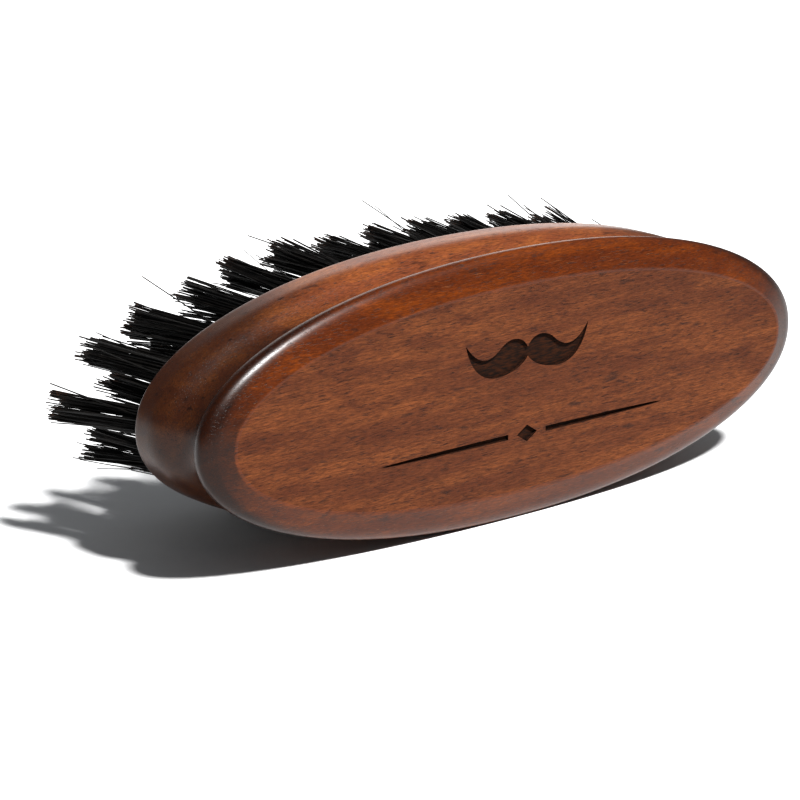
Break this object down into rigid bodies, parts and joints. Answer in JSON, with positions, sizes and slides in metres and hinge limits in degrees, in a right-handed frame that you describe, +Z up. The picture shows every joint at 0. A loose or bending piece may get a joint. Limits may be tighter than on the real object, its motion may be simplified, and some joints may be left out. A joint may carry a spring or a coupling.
{
  "type": "beard brush",
  "caption": "Oval hand-held beard brush: a routed wood body with a finger cove and a flat back, filled with fanned tufts of boar bristle.",
  "frame": {"origin": "middle of the bounding box's bottom face: the brush lies on the long side of its rim", "axes": "+X along the brush, +Y the way the bristles point (the flat back faces -Y), +Z up across the brush's width"},
  "size_m": [0.1034, 0.0332, 0.035],
  "materials": {
    "wood": "stained reddish brown, thin satin lacquer",
    "bristle": "natural black hair fibre, slightly glossy"
  },
  "bodies": {
    "root": {"tuft_centre_01": "bristle", "tuft_centre_02": "bristle", "tuft_centre_03": "bristle", "tuft_centre_04": "bristle", "tuft_centre_05": "bristle", "tuft_centre_06": "bristle", "tuft_centre_07": "bristle", "tuft_centre_08": "bristle", "tuft_centre_09": "bristle", "tuft_middle_01": "bristle", "tuft_middle_02": "bristle", "tuft_middle_03": "bristle", "tuft_middle_04": "bristle", "tuft_middle_05": "bristle", "tuft_middle_06": "bristle", "tuft_middle_07": "bristle", "tuft_middle_08": "bristle", "tuft_middle_09": "bristle", "tuft_middle_10": "bristle", "tuft_middle_11": "bristle", "tuft_middle_12": "bristle", "tuft_middle_13": "bristle", "tuft_middle_14": "bristle", "tuft_middle_15": "bristle", "tuft_middle_16": "bristle", "tuft_middle_17": "bristle", "tuft_middle_18": "bristle", "tuft_middle_19": "bristle", "tuft_middle_20": "bristle", "tuft_middle_21": "bristle", "tuft_middle_22": "bristle", "tuft_outer_01": "bristle", "tuft_outer_02": "bristle", "tuft_outer_03": "bristle", "tuft_outer_04": "bristle", "tuft_outer_05": "bristle", "tuft_outer_06": "bristle", "tuft_outer_07": "bristle", "tuft_outer_08": "bristle", "tuft_outer_09": "bristle", "tuft_outer_10": "bristle", "tuft_outer_11": "bristle", "tuft_outer_12": "bristle", "tuft_outer_13": "bristle", "tuft_outer_14": "bristle", "tuft_outer_15": "bristle", "tuft_outer_16": "bristle", "tuft_outer_17": "bristle", "tuft_outer_18": "bristle", "tuft_outer_19": "bristle", "tuft_outer_20": "bristle", "tuft_outer_21": "bristle", "tuft_outer_22": "bristle", "tuft_outer_23": "bristle", "tuft_outer_24": "bristle", "tuft_outer_25": "bristle", "tuft_outer_26": "bristle", "tuft_outer_27": "bristle", "tuft_outer_28": "bristle", "wood_body": "wood"}
  },
  "joints": []
}
